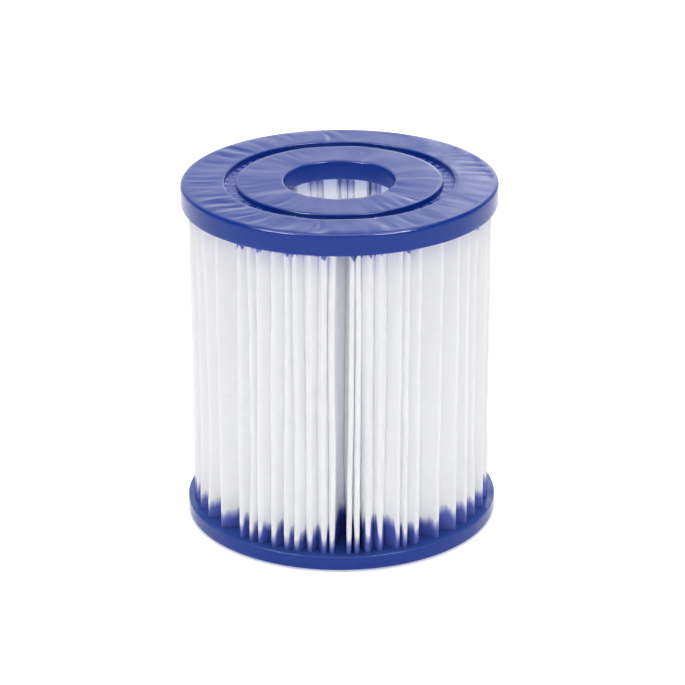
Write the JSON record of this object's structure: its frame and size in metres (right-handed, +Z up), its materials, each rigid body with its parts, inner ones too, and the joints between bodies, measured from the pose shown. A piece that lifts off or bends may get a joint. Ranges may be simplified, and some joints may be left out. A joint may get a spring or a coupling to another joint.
{
  "type": "filter cartridge",
  "caption": "Pleated pool and spa filter cartridge: white folded cloth around a slotted core, potted in a blue cast end cap with a bore at each end.",
  "frame": {"origin": "centre of the bottom end cap's outer face", "axes": "+Z up the cartridge's axis, from the bottom cap to the top cap; +X and +Y are square to it, and the media's glued seam faces +Y"},
  "size_m": [0.08, 0.08, 0.09],
  "materials": {
    "cast_cap": "satin",
    "filter_cloth": "matte",
    "core_plastic": "satin",
    "hot_melt": "satin"
  },
  "bodies": {
    "root": {"top_end_cap": "cast_cap", "bottom_end_cap": "cast_cap", "pleated_media": "filter_cloth", "core": "core_plastic", "seam_adhesive": "hot_melt"}
  },
  "joints": []
}
